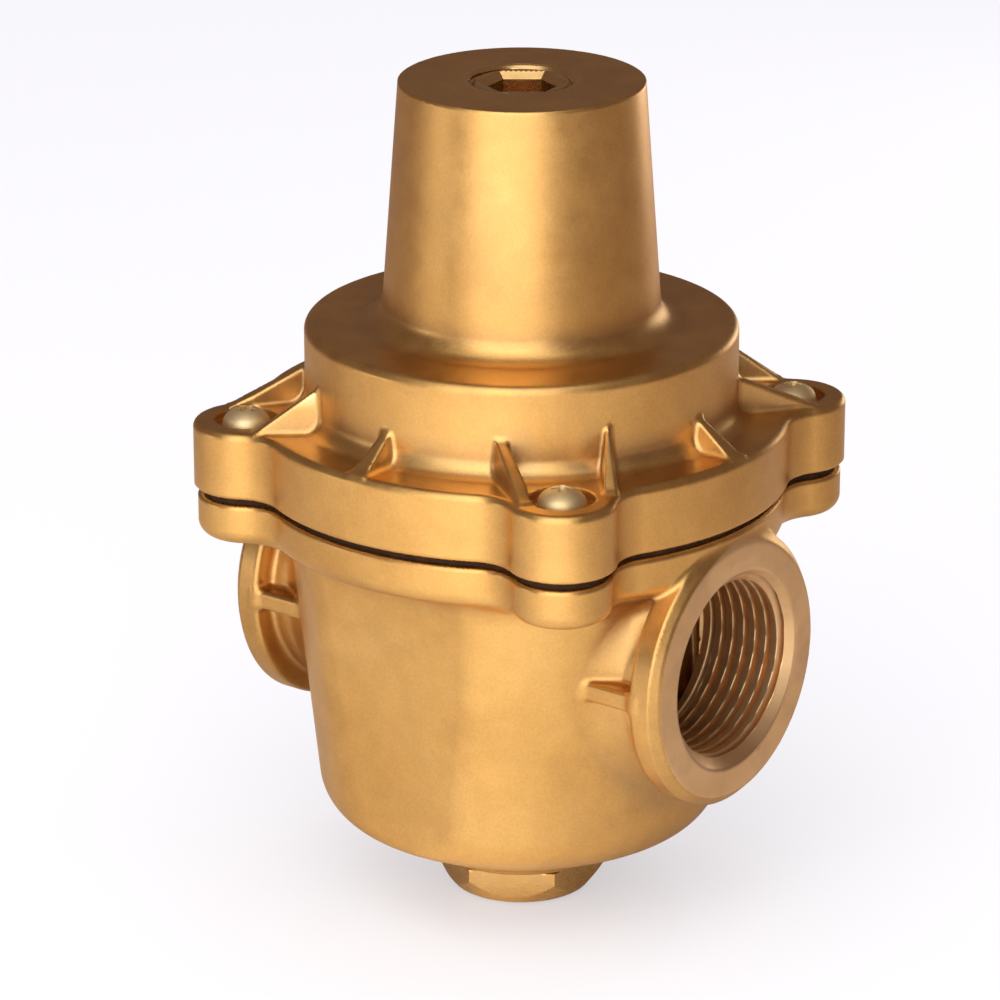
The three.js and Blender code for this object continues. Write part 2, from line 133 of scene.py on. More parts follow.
def contour(f, lo, hi, h, lip=1.0):
    """dual contouring: crisp edges where f has them. Returns vertices, quads and vertex normals, in mm."""
    lo = np.asarray(lo, float) - h * np.array([1.37, 1.41, 1.43])
    hi = np.asarray(hi, float) + h * 1.5
    nb = np.ceil((hi - lo) / (h * BLOCK)).astype(int)
    bi = np.stack(np.meshgrid(*[np.arange(k) for k in nb], indexing="ij"), -1).reshape(-1, 3)
    d = f((lo + (bi + 0.5) * BLOCK * h).astype(F))
    bi = bi[np.abs(d) < BLOCK * h * 0.8660254 * lip + h]
    off = np.stack(np.meshgrid(*[np.arange(BLOCK + 1)] * 3, indexing="ij"), -1).reshape(-1, 3)
    vals = np.empty((len(bi), len(off)), F)
    lo32, h32 = lo.astype(F), F(h)
    step = 120

    def fill(i):
        c = bi[i : i + step]
        p = (lo32 + (c[:, None, :] * BLOCK + off[None]).astype(F) * h32).reshape(-1, 3)
        vals[i : i + step] = f(p).reshape(len(c), -1)

    with ThreadPoolExecutor(4) as pool:
        list(pool.map(fill, range(0, len(bi), step)))
    V = vals.reshape(-1, BLOCK + 1, BLOCK + 1, BLOCK + 1)
    ins = V < 0
    base, A, VA, VB, LOWIN = [], [], [], [], []
    for axis in range(3):
        s0 = [slice(None)] + [slice(0, BLOCK)] * 3
        s1 = list(s0)
        s1[axis + 1] = slice(1, BLOCK + 1)
        a, b = ins[tuple(s0)], ins[tuple(s1)]
        w = np.nonzero(a != b)
        g = bi[w[0]] * BLOCK + np.stack(w[1:], -1)
        base.append(g)
        A.append(np.full(len(g), axis))
        VA.append(V[tuple(s0)][w])
        VB.append(V[tuple(s1)][w])
        LOWIN.append(a[w])
    g, axis = np.concatenate(base), np.concatenate(A)
    va, vb, lowin = np.concatenate(VA), np.concatenate(VB), np.concatenate(LOWIN)
    del V, vals, ins
    unit = np.eye(3, dtype=F)[axis]
    p0 = lo32 + g.astype(F) * h32

    def threaded(fun, n, width):
        out = np.empty((n, width), F)
        cut = list(range(0, n, 60000))

        def go(i):
            out[i : i + 60000] = fun(slice(i, i + 60000))

        with ThreadPoolExecutor(4) as pool:
            list(pool.map(go, cut))
        return out

    def cross(s):
        ta, tb = np.zeros(len(va[s]), F), np.ones(len(va[s]), F)
        fa, fb = va[s].copy(), vb[s].copy()
        t = fa / (fa - fb)
        for k in range(3):
            t = np.clip(ta + (tb - ta) * fa / (fa - fb), 0, 1) if k < 2 else t
            ft = f(p0[s] + unit[s] * (t * h32)[:, None])
            same = (ft < 0) == (fa < 0)
            ta, fa = np.where(same, t, ta), np.where(same, ft, fa)
            tb, fb = np.where(same, tb, t), np.where(same, fb, ft)
            den = np.where(np.abs(fa - fb) < 1e-9, 1e-9, fa - fb)
            t = ta + (tb - ta) * np.clip(fa / den, 0.02, 0.98)
        p = p0[s] + unit[s] * (t * h32)[:, None]
        e = F(0.02)
        k = np.array([[1, -1, -1], [-1, -1, 1], [-1, 1, -1], [1, 1, 1]], F)
        n = sum(kk * f(p + e * kk)[:, None] for kk in k)
        n /= np.maximum(np.linalg.norm(n, axis=1), 1e-12)[:, None]
        return np.concatenate([p, n], 1)

    PN = threaded(cross, len(g), 6)
    p, n = PN[:, :3].astype(float), PN[:, 3:].astype(float)
    other = np.array([[1, 2], [2, 0], [0, 1]])
    o1, o2 = other[axis, 0], other[axis, 1]
    rows = np.arange(len(g))
    cells = []
    for s1, s2 in ((-1, -1), (0, -1), (0, 0), (-1, 0)):
        c = g.copy()
        c[rows, o1] += s1
        c[rows, o2] += s2
        cells.append(c)
    cells = np.stack(cells, 1)
    dims = nb * BLOCK + 4
    key = ((cells[..., 0] + 1) * dims[1] + cells[..., 1] + 1) * dims[2] + cells[..., 2] + 1
    ids, inv = np.unique(key.ravel(), return_inverse=True)
    inv = inv.reshape(-1, 4)
    m = len(ids)

    def acc(v):
        out = np.zeros(m)
        for k in range(4):
            out += np.bincount(inv[:, k], v, m)
        return out

    cnt = acc(np.ones(len(g)))
    mass = np.stack([acc(p[:, k]) for k in range(3)], 1) / cnt[:, None]
    nd = (n * p).sum(1)
    AT = np.zeros((m, 3, 3))
    for i in range(3):
        for j in range(i, 3):
            AT[:, i, j] = AT[:, j, i] = acc(n[:, i] * n[:, j])
    rhs = np.stack([acc(n[:, k] * nd) for k in range(3)], 1) - np.einsum("nij,nj->ni", AT, mass)
    w, v = np.linalg.eigh(AT)
    inverse = np.where(w > 0.06 * w[:, 2:3], 1 / np.maximum(w, 1e-12), 0)
    q = np.einsum("nji,nj->ni", v, rhs) * inverse
    x = mass + np.einsum("nij,nj->ni", v, q)
    cell = np.stack([ids // (dims[1] * dims[2]) - 1, ids // dims[2] % dims[1] - 1, ids % dims[2] - 1], 1)
    c0 = lo + cell * h
    x = np.clip(x, c0 - 0.02 * h, c0 + 1.02 * h)
    nor = np.stack([acc(n[:, k]) for k in range(3)], 1)
    nor /= np.maximum(np.linalg.norm(nor, axis=1), 1e-9)[:, None]
    quads = np.where(lowin[:, None], inv, inv[:, ::-1])
    return x, quads, nor


MADE = {}


def mesh_object(name, verts, faces, nor, field=None, reach=2.6, sharp=35):
    """verts in mm; faces all of one size"""
    me = bpy.data.meshes.new(name)
    n, k = len(faces), faces.shape[1]
    verts = np.clip(verts, np.array(CAD_LO) * 1000 + 0.002, np.array(CAD_HI) * 1000 - 0.002)
    me.vertices.add(len(verts))
    me.vertices.foreach_set("co", (np.asarray(verts) * 0.001).astype(F).ravel())
    me.loops.add(n * k)
    me.loops.foreach_set("vertex_index", faces.astype(np.int32).ravel())
    me.polygons.add(n)
    me.polygons.foreach_set("loop_start", np.arange(0, n * k, k, dtype=np.int32))
    me.polygons.foreach_set("loop_total", np.full(n, k, np.int32))
    me.update(calc_edges=True)
    me.validate()
    me.shade_smooth()
    me.set_sharp_from_angle(angle=math.radians(sharp))
    # from the field: cavity and hollow mark creases and deep hollows, which the materials darken as painted shade
    # (cavity partly as grime); edge marks convex edges, lightened as wear and painted glint
    if field is not None:
        P, N = verts.astype(F), nor.astype(F)
        cav = np.zeros(len(P), F)
        for dist, weight in ((reach * 0.35, 0.5), (reach, 0.5)):
            cav += weight * np.clip(1 - field(P + N * F(dist)) / F(dist), 0, 1)
        edge = np.clip(1 + field(P - N * F(0.8)) / F(0.8), 0, 1)
        hollow = np.clip(1 - field(P + N * F(8)) / F(8), 0, 1)
        for key, val in (("cavity", cav), ("edge", edge), ("hollow", hollow)):
            at = me.attributes.new(key, "FLOAT", "POINT")
            at.data.foreach_set("value", val.astype(F))
    ob = bpy.data.objects.new(name, me)
    bpy.context.scene.collection.objects.link(ob)
    MADE[name] = ob
    return ob


def by_field(name, f, lo, hi, h, sharp=55, reach=2.6):
    x, q, nor = contour(f, lo, hi, h)
    return mesh_object(name, x, q, nor, f, reach, sharp)


def paint_faces(ob, mats, rule):
    """rule(centres in mm) -> material index per face"""
    for m in mats:
        ob.data.materials.append(m)
    n = len(ob.data.polygons)
    c = np.empty(n * 3, F)
    ob.data.polygons.foreach_get("center", c)
    nn = np.empty(n * 3, F)
    ob.data.polygons.foreach_get("normal", nn)
    idx = rule(c.reshape(-1, 3) * 1000, nn.reshape(-1, 3)).astype(np.int32)
    ob.data.polygons.foreach_set("material_index", idx)


def soften(points, c=0.25):
    """each corner of a closed profile replaced by a small three-point round"""
    out = []
    n = len(points)
    for i in range(n):
        p, a, b = np.array(points[i], float), np.array(points[i - 1], float), np.array(points[(i + 1) % n], float)
        da, db = a - p, b - p
        la, lb = np.linalg.norm(da), np.linalg.norm(db)
        if p[0] < 1e-6 or la < 1e-6 or lb < 1e-6:
            out.append(tuple(p))
            continue
        k = min(c, la * 0.4, lb * 0.4)
        s, e = p + da / la * k, p + db / lb * k
        out += [tuple(s), tuple(0.25 * s + 0.5 * p + 0.25 * e), tuple(e)]
    return out


def lathe(name, points, seg=128, ring=False, c=0.25, sharp=28):
    """turned piece about +Z from an (r, z) profile listed from the bottom round the outside to the top"""
    if ring:
        pts = soften(points, c)
    else:
        pts = [p for p in soften(points, c)]
        pts = [p if p[0] > 1e-6 else (0.0, p[1]) for p in pts]
    a = np.linspace(0, 2 * math.pi, seg, endpoint=False)
    rows, verts = [], []
    for r, z in pts:
        if r < 1e-6:
            rows.append([len(verts)] * seg)
            verts.append((0, 0, z))
        else:
            rows.append(list(range(len(verts), len(verts) + seg)))
            verts += [(r * math.cos(t), r * math.sin(t), z) for t in a]
    faces = []
    pairs = list(zip(rows, rows[1:])) + ([(rows[-1], rows[0])] if ring else [])
    for lowrow, highrow in pairs:
        for i in range(seg):
            j = (i + 1) % seg
            face = []
            for vtx in (lowrow[i], lowrow[j], highrow[j], highrow[i]):
                if vtx not in face:
                    face.append(vtx)
            if len(face) > 2:
                faces.append(face)
    me = bpy.data.meshes.new(name)
    me.from_pydata([(x * 0.001, y * 0.001, z * 0.001) for x, y, z in verts], [], faces)
    me.validate()
    me.shade_smooth()
    me.set_sharp_from_angle(angle=math.radians(sharp))
    ob = bpy.data.objects.new(name, me)
    bpy.context.scene.collection.objects.link(ob)
    MADE[name] = ob
    return ob


# ------------------------------------------------------------------ materials


def nodes_of(name):
    m = bpy.data.materials.new(name)
    m.use_nodes = True
    t = m.node_tree
    t.nodes.clear()
    out = t.nodes.new("ShaderNodeOutputMaterial")
    b = t.nodes.new("ShaderNodeBsdfPrincipled")
    t.links.new(b.outputs["BSDF"], out.inputs["Surface"])
    return m, t, b


def n_(t, kind, **kw):
    node = t.nodes.new(kind)
    for k, v in kw.items():
        if k in node.inputs:
            node.inputs[k].default_value = v
        else:
            setattr(node, k, v)
    return node


def noise(t, vec, scale, detail=4.0, rough=0.55, distortion=0.0):
    n = t.nodes.new("ShaderNodeTexNoise")
    n.inputs["Scale"].default_value = scale
    n.inputs["Detail"].default_value = detail
    n.inputs["Roughness"].default_value = rough
    n.inputs["Distortion"].default_value = distortion
    t.links.new(vec, n.inputs["Vector"])
    return n.outputs["Fac"]


def ramp(t, fac, stops):
    r = t.nodes.new("ShaderNodeValToRGB")
    el = r.color_ramp.elements
    while len(el) > len(stops):
        el.remove(el[-1])
    while len(el) < len(stops):
        el.new(0.5)
    for e, (pos, col) in zip(el, stops):
        e.position = pos
        e.color = (*col, 1) if len(col) == 3 else col
    t.links.new(fac, r.inputs["Fac"])
    return r.outputs["Color"]


def mapr(t, val, a, b, c, d):
    r = t.nodes.new("ShaderNodeMapRange")
    for k, v in zip(("From Min", "From Max", "To Min", "To Max"), (a, b, c, d)):
        r.inputs[k].default_value = v
    t.links.new(val, r.inputs["Value"])
    return r.outputs["Result"]


def math_(t, op, a, b=None):
    m = t.nodes.new("ShaderNodeMath")
    m.operation = op
    for i, v in enumerate((a, b)):
        if v is None:
            continue
        if isinstance(v, (int, float)):
            m.inputs[i].default_value = v
        else:
            t.links.new(v, m.inputs[i])
    return m.outputs[0]


def mixc(t, fac, a, b, kind="MIX"):
    m = t.nodes.new("ShaderNodeMix")
    m.data_type = "RGBA"
    m.blend_type = kind
    for sock, v in ((m.inputs[0], fac), (m.inputs[6], a), (m.inputs[7], b)):
        if isinstance(v, (int, float)):
            sock.default_value = v
        elif isinstance(v, tuple):
            sock.default_value = (*v, 1)
        else:
            t.links.new(v, sock)
    return m.outputs[2]


def bump(t, height, strength, distance, normal=None):
    b = t.nodes.new("ShaderNodeBump")
    b.inputs["Strength"].default_value = strength
    b.inputs["Distance"].default_value = distance
    t.links.new(height, b.inputs["Height"])
    if normal is not None:
        t.links.new(normal, b.inputs["Normal"])
    return b.outputs["Normal"]


def objco(t):
    return t.nodes.new("ShaderNodeTexCoord").outputs["Object"]


def attr(t, name):
    a = t.nodes.new("ShaderNodeAttribute")
    a.attribute_name = name
    return a.outputs["Fac"]


def cast_brass(name="cast_brass_surface"):
    m, t, b = nodes_of(name)
    co = objco(t)
    big = noise(t, co, 38, 4, 0.55)
    mid = noise(t, co, 210, 5, 0.6)
    grain = noise(t, co, 2300, 3, 0.65)
    cav, edge = attr(t, "cavity"), attr(t, "edge")
    col = ramp(t, big, [(0.28, (0.70, 0.395, 0.125)), (0.52, (0.80, 0.48, 0.165)), (0.74, (0.86, 0.54, 0.205))])
    stain = ramp(t, mid, [(0.34, (0.62, 0.34, 0.11)), (0.60, (0.82, 0.50, 0.18))])
    col = mixc(t, 0.28, col, stain)
    # dark brown in small creases, from the cavity mask: part grime, part painted shade; it also raises the roughness
    # there
    grime_and_shade = math_(t, "MULTIPLY", mapr(t, cav, 0.30, 0.85, 0.0, 0.62), mapr(t, mid, 0.3, 0.65, 1.0, 0.55))
    col = mixc(t, grime_and_shade, col, (0.40, 0.20, 0.07))
    # convex edges lightened to pale cream, from the edge mask: part real edge wear, part painted glint
    wear_and_glint = math_(t, "MULTIPLY", mapr(t, edge, 0.22, 0.7, 0.0, 0.75), mapr(t, mid, 0.35, 0.6, 0.5, 1.0))
    col = mixc(t, wear_and_glint, col, (0.97, 0.75, 0.42))
    # painted shade: deep hollows, from the hollow mask, dulled and darkened towards a grey brown
    shade = math_(t, "MULTIPLY", mapr(t, attr(t, "hollow"), 0.20, 0.72, 0.0, 0.44), mapr(t, mid, 0.3, 0.62, 1.0, 0.72))
    col = mixc(t, shade, col, (0.42, 0.31, 0.22))
    age = noise(t, co, 62, 5, 0.62, 0.4)
    tarnish = math_(t, "MULTIPLY", mapr(t, age, 0.50, 0.66, 0.0, 0.34), mapr(t, mid, 0.36, 0.6, 0.4, 1.0))
    col = mixc(t, tarnish, col, (0.52, 0.29, 0.12))
    sep = t.nodes.new("ShaderNodeSeparateXYZ")
    t.links.new(co, sep.inputs[0])
    # painted shade: the port necks, from |x| 27 mm outwards and below 66 mm height, darkened towards brown
    neck_shade = mapr(t, math_(t, "ABSOLUTE", sep.outputs[0]), 0.027, 0.040, 0.0, 1.0)
    neck_shade = math_(t, "MULTIPLY", neck_shade, mapr(t, sep.outputs[2], 0.066, 0.058, 0.0, 1.0))
    col = mixc(t, math_(t, "MULTIPLY", neck_shade, mapr(t, mid, 0.3, 0.65, 0.62, 0.36)), col, (0.56, 0.325, 0.125))
    fine = ramp(t, grain, [(0.35, (0.80, 0.80, 0.80)), (0.65, (1.0, 1.0, 1.0))])
    col = mixc(t, 0.5, col, fine, "MULTIPLY")
    t.links.new(col, b.inputs["Base Color"])
    b.inputs["Metallic"].default_value = 1.0
    ro = math_(t, "ADD", mapr(t, mid, 0.3, 0.7, 0.33, 0.41), mapr(t, grime_and_shade, 0, 0.6, 0.0, 0.14))
    ro = math_(t, "SUBTRACT", ro, mapr(t, wear_and_glint, 0, 0.55, 0.0, 0.08))
    t.links.new(ro, b.inputs["Roughness"])
    n1 = bump(t, noise(t, co, 95, 3, 0.5), 0.08, 0.0005)
    n2 = bump(t, mid, 0.10, 0.00018, n1)
    n3 = bump(t, grain, 0.45, 0.00004, n2)
    t.links.new(n3, b.inputs["Normal"])
    return m


def machined(name, color, axis="Z", pitch=0.28, rough=0.24, lines=0.5, dark=None):
    m, t, b = nodes_of(name)
    co = objco(t)
    sep = t.nodes.new("ShaderNodeSeparateXYZ")
    t.links.new(co, sep.inputs[0])
    X, Y, Z = sep.outputs
    if axis == "X":
        Zc = math_(t, "SUBTRACT", Z, 0.050)
        rad = math_(t, "SQRT", math_(t, "ADD", math_(t, "MULTIPLY", Y, Y), math_(t, "MULTIPLY", Zc, Zc)))
        along = X
    else:
        rad = math_(t, "SQRT", math_(t, "ADD", math_(t, "MULTIPLY", X, X), math_(t, "MULTIPLY", Y, Y)))
        along = Z
    comb = t.nodes.new("ShaderNodeCombineXYZ")
    t.links.new(rad, comb.inputs[0])
    t.links.new(along, comb.inputs[1])
    rings = noise(t, comb.outputs[0], 1000 / pitch / 2, 3, 0.6)
    mid = noise(t, co, 160, 4, 0.6)
    big = noise(t, co, 45, 3, 0.5)
    r, g, bl = color
    col = ramp(t, big, [(0.3, (r * 0.86, g * 0.82, bl * 0.74)), (0.7, (min(1, r * 1.04), min(1, g * 1.05), min(1, bl * 1.08)))])
    col = mixc(t, mapr(t, mid, 0.45, 0.8, 0.0, 0.35), col, dark or (r * 0.6, g * 0.5, bl * 0.38))
    # painted shade: thread roots and recesses, from the cavity mask, darkened
    cav = attr(t, "cavity")
    col = mixc(t, mapr(t, cav, 0.35, 0.9, 0.0, 0.5), col, dark or (r * 0.45, g * 0.36, bl * 0.25))
    t.links.new(col, b.inputs["Base Color"])
    b.inputs["Metallic"].default_value = 1.0
    t.links.new(math_(t, "ADD", mapr(t, mid, 0.3, 0.7, rough - 0.04, rough + 0.06), mapr(t, rings, 0.3, 0.7, -0.03, 0.04)), b.inputs["Roughness"])
    n1 = bump(t, rings, 0.22 * lines, 0.00003)
    n2 = bump(t, mid, 0.05, 0.0002, n1)
    t.links.new(n2, b.inputs["Normal"])
    return m


def rubber(name, base=(0.018, 0.017, 0.016), weave=True):
    m, t, b = nodes_of(name)
    co = objco(t)
    mid = noise(t, co, 260, 5, 0.6)
    fine = noise(t, co, 2600, 3, 0.6)
    col = ramp(t, mid, [(0.3, tuple(c * 0.7 for c in base)), (0.7, tuple(c * 1.9 for c in base))])
    t.links.new(col, b.inputs["Base Color"])
    t.links.new(mapr(t, fine, 0.3, 0.7, 0.62, 0.85), b.inputs["Roughness"])
    b.inputs["Specular IOR Level"].default_value = 0.18
    if weave:
        w = t.nodes.new("ShaderNodeTexWave")
        w.inputs["Scale"].default_value = 420
        w.inputs["Distortion"].default_value = 0.6
        t.links.new(co, w.inputs["Vector"])
        n1 = bump(t, w.outputs["Fac"], 0.12, 0.00006)
        n2 = bump(t, fine, 0.25, 0.00005, n1)
    else:
        n2 = bump(t, fine, 0.25, 0.00005)
    t.links.new(n2, b.inputs["Normal"])
    return m


M_CAST = cast_brass()
M_TURN_Z = machined("turned_brass", (0.86, 0.58, 0.25), "Z", 0.30, 0.24, 1.0)
M_TURN_X = machined("turned_brass_port", (0.87, 0.595, 0.33), "X", 0.34, 0.43, 1.1, (0.39, 0.25, 0.175))
M_MILL = machined("milled_brass", (0.85, 0.57, 0.24), "Z", 0.5, 0.27, 0.4)
M_STEEL = machined("turned_steel", (0.60, 0.59, 0.57), "Z", 0.25, 0.22, 0.7, (0.30, 0.29, 0.28))
M_SCREW = machined("warm_passivated_steel", (0.97, 0.79, 0.48), "Z", 0.5, 0.54, 0.25, (0.46, 0.30, 0.14))
M_SPRING = machined("spring_wire", (0.36, 0.37, 0.39), "Z", 0.9, 0.30, 0.5, (0.14, 0.13, 0.13))
M_RUBBER = rubber("diaphragm_fabric_rubber", (0.026, 0.012, 0.006))
M_SEAL = rubber("seal_rubber_moulded", (0.022, 0.021, 0.020), False)

# ------------------------------------------------------------------ valve body

PORT_Z, FACE = 50.0, 45.5
LINER = 17.9
TILT = math.atan2(39.8 - 35.2, 64 - 21.5)
CONE = math.radians(25)
CX, CZ = 35.2 - 9 * math.cos(TILT), 21.5 + 9 * math.sin(TILT)
N1 = (math.cos(TILT), -math.sin(TILT))
N2 = (math.cos(math.pi / 2 - CONE), -math.sin(math.pi / 2 - CONE))
WAY = [(-40, 67.4), (-22.9, 67.4), (-20.5, 48.2), (17.4, 48.2), (21.0, 31.9), (40, 31.9)]


def sd_way(x, z):
    d = np.full(len(x), F(1e3))
    for (x0, z0), (x1, z1) in zip(WAY, WAY[1:]):
        dx, dz = F(x1 - x0), F(z1 - z0)
        t = np.clip(((x - F(x0)) * dx + (z - F(z0)) * dz) / (dx * dx + dz * dz), 0, 1)
        d = np.minimum(d, ln(x - F(x0) - t * dx, z - F(z0) - t * dz))
    return d - F(1.9)


def sd_body(P):
    x, y, z, r = split(P)
    ax, ay = np.abs(x), np.abs(y)
    u, v = (ax + ay) * S2, np.abs(ax - ay) * S2
    zp = z - F(PORT_Z)
    rr = ln(y, zp)
    # bowl: drafted wall, rounded lower corner, shallow cone
    vr, vz = r - F(CX), z - F(CZ)
    dw = vr * F(N1[0]) + vz * F(N1[1]) - F(9)
    dc = vr * F(N2[0]) + vz * F(N2[1]) - F(9)
    corner = (F(N1[0]) * vz - F(N1[1]) * vr < 0) & (vr * F(N2[1]) - vz * F(N2[0]) < 0)
    d = np.where(corner, ln(vr, vz) - F(9), np.maximum(dw, dc))
    d = ru(d, r - F(16.8), 0.5)
    d = ri(d, F(7.4) - z, 0.35)
    flat = (ay - F(31.35) - F(0.07254) * z) * F(0.9974)
    d = ri(d, flat, 1.0)
    d = np.maximum(d, z - F(71))
    # flange with ears
    fl = ri(outline(x, y, 45.3, 47.15, 8.5, 8.0), F(67.3) - z, 2.6)
    fl = ci(fl, z - F(74.6), 0.35)
    d = ru(d, fl, 5.0)
    # ports
    neck = np.maximum(rr - F(19.9), ax - F(41))
    flare = (rr - F(19.9) - np.maximum(F(36) - ax, 0) * F(0.16)) * F(0.98)
    neck = np.maximum(np.minimum(neck, np.maximum(flare, ax - F(41))), F(14) - ax)
    d = ru(d, neck, 3.0)
    rib = ri(np.abs(zp) - F(1.7), mx(ay - F(23.4), ax - F(41), F(24.5) - ax), 0.8)
    d = ru(d, rib, 0.9)
    bevel = (rr - F(23.8) + ax - F(FACE) + F(1.5)) * S2
    col = ri(mx(rr - F(23.8), bevel), ax - F(FACE), 0.35)
    col = ri(col, F(39.9) - ax, 1.0)
    d = ru(d, col, 1.2)
    # inside
    sp = ri(r - F(31.2), F(12.8) - z, 9.0)
    sp = ri(sp, -sd_way(x, z), 2.0)
    sp = ri(sp, -np.maximum(r - F(18.6), np.abs(z - F(48.2)) - F(2.5)), 0.8)
    sp = ri(sp, -np.maximum(r - F(16.4), z - F(20.5)), 1.0)
    sp = np.maximum(sp, z - F(80))
    d = ci(d, -sp, 0.3)
    d = ci(d, -mx(r - F(15.9), F(40) - z, z - F(60)), 0.3)
    d = np.maximum(d, -mx(r - F(12.35), z - F(24), F(5) - z))
    # the port bores; the threads are turned liners of their own
    thr = F(13.2) + np.clip(ax - F(26), 0, 2) * F(0.97)
    bore = np.maximum((rr - thr) * F(0.7), np.maximum(F(26) - ax, ax - F(29)))
    bore = np.minimum(bore, np.maximum(rr - F(LINER), F(28) - ax))
    d = np.maximum(d, -bore)
    ear = ln(u - F(47.15), v)
    d = ci(d, -np.maximum(ear - F(2.5), F(58) - z), 0.35)
    return d


body = by_field("body_casting", sd_body, (-45.6, -45.6, 7.3), (45.6, 45.6, 74.7), 0.40)


def body_rule(c, n):
    x, y, z = c.T
    rr = np.hypot(y, z - PORT_Z)
    ax = np.abs(x)
    idx = np.zeros(len(c), int)
    idx[(ax > FACE - 0.06) & (np.abs(n[:, 0]) > 0.9)] = 1
    idx[(rr < 18.0) & (ax > 26.05)] = 1
    idx[(z > 74.5) & (n[:, 2] > 0.7)] = 2
    idx[(z < 7.46) & (n[:, 2] < -0.9)] = 2
    return idx


paint_faces(body, [M_CAST, M_TURN_X, M_MILL], body_rule)
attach(body, "housing")
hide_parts("valve_body")



def liner(name, z0, z1, outer, inner, pitch, place, seg=132, step=0.12):
    """threaded sleeve about +Z: inner(z) gives the two radii that the thread runs between"""
    n = int(round((z1 - z0) / step)) + 1
    z = np.linspace(z0, z1, n)
    a = np.linspace(0, 2 * math.pi, seg, endpoint=False)
    Z, A = np.meshgrid(z, a, indexing="ij")
    ph = Z / pitch - A / (2 * math.pi)
    w = np.abs(ph - np.floor(ph) - 0.5) * 2
    tri = np.clip((w - 0.52) / 0.44, 0, 1)
    tri = 0.5 - 0.5 * np.cos(tri * math.pi) * 0.55 - 0.225 * (1 - 2 * tri)
    tri = np.clip(tri, 0, 1)
    low, high, floor = inner(Z)
    R = np.maximum(low + (high - low) * tri, floor)
    inn = np.stack([R * np.cos(A), R * np.sin(A), Z], -1).reshape(-1, 3)
    out = np.stack([outer * np.cos(a), outer * np.sin(a)], -1)
    ends = [np.concatenate([out, np.full((seg, 1), zz)], 1) for zz in (z0, z1)]
    v = np.concatenate([inn] + ends)
    i, j = np.meshgrid(np.arange(n - 1), np.arange(seg), indexing="ij")
    j2 = (j + 1) % seg
    q = [np.stack([i * seg + j, (i + 1) * seg + j, (i + 1) * seg + j2, i * seg + j2], -1).reshape(-1, 4)]
    k = np.arange(seg)
    k2 = (k + 1) % seg
    lo, hi = n * seg, (n + 1) * seg
    q.append(np.stack([lo + k, lo + k2, hi + k2, hi + k], -1))
    q.append(np.stack([k, k2, lo + k2, lo + k], -1))
    top = (n - 1) * seg
    q.append(np.stack([top + k, hi + k, hi + k2, top + k2], -1))
    q = np.concatenate(q)
    v = place(v)
    ob = mesh_object(name, v, q, None, None, sharp=50)
    # cavity marks the thread roots, which the material darkens as painted shade
    at = ob.data.attributes.new("cavity", "FLOAT", "POINT")
    cav = np.concatenate([(tri * np.clip((high - low) / 0.5, 0, 1)).reshape(-1), np.zeros(2 * seg)])
    at.data.foreach_set("value", cav.astype(F))
    return ob


def port_radii(Z):
    fade = np.clip((Z - 28.4) / 2.4, 0, 1)
    return np.full_like(Z, 15.15), 15.15 + 1.46 * fade, 17.35 - (FACE - 0.01 - Z)


for nm, side in (("outlet_pipe_thread", 1), ("inlet_pipe_thread", -1)):
    # a right-handed thread seen from either end; the pair is the same part turned half a turn about the valve axis
    ob = liner(nm, 27.8, FACE - 0.01, LINER + 0.15, port_radii, 2.309, lambda v, side=side: np.stack([v[:, 2] * side, v[:, 0] * side, v[:, 1] + PORT_Z], -1))
    ob.data.materials.append(M_TURN_X)
    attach(ob, "housing")
    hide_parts("valve_body")

# ------------------------------------------------------------------ bonnet


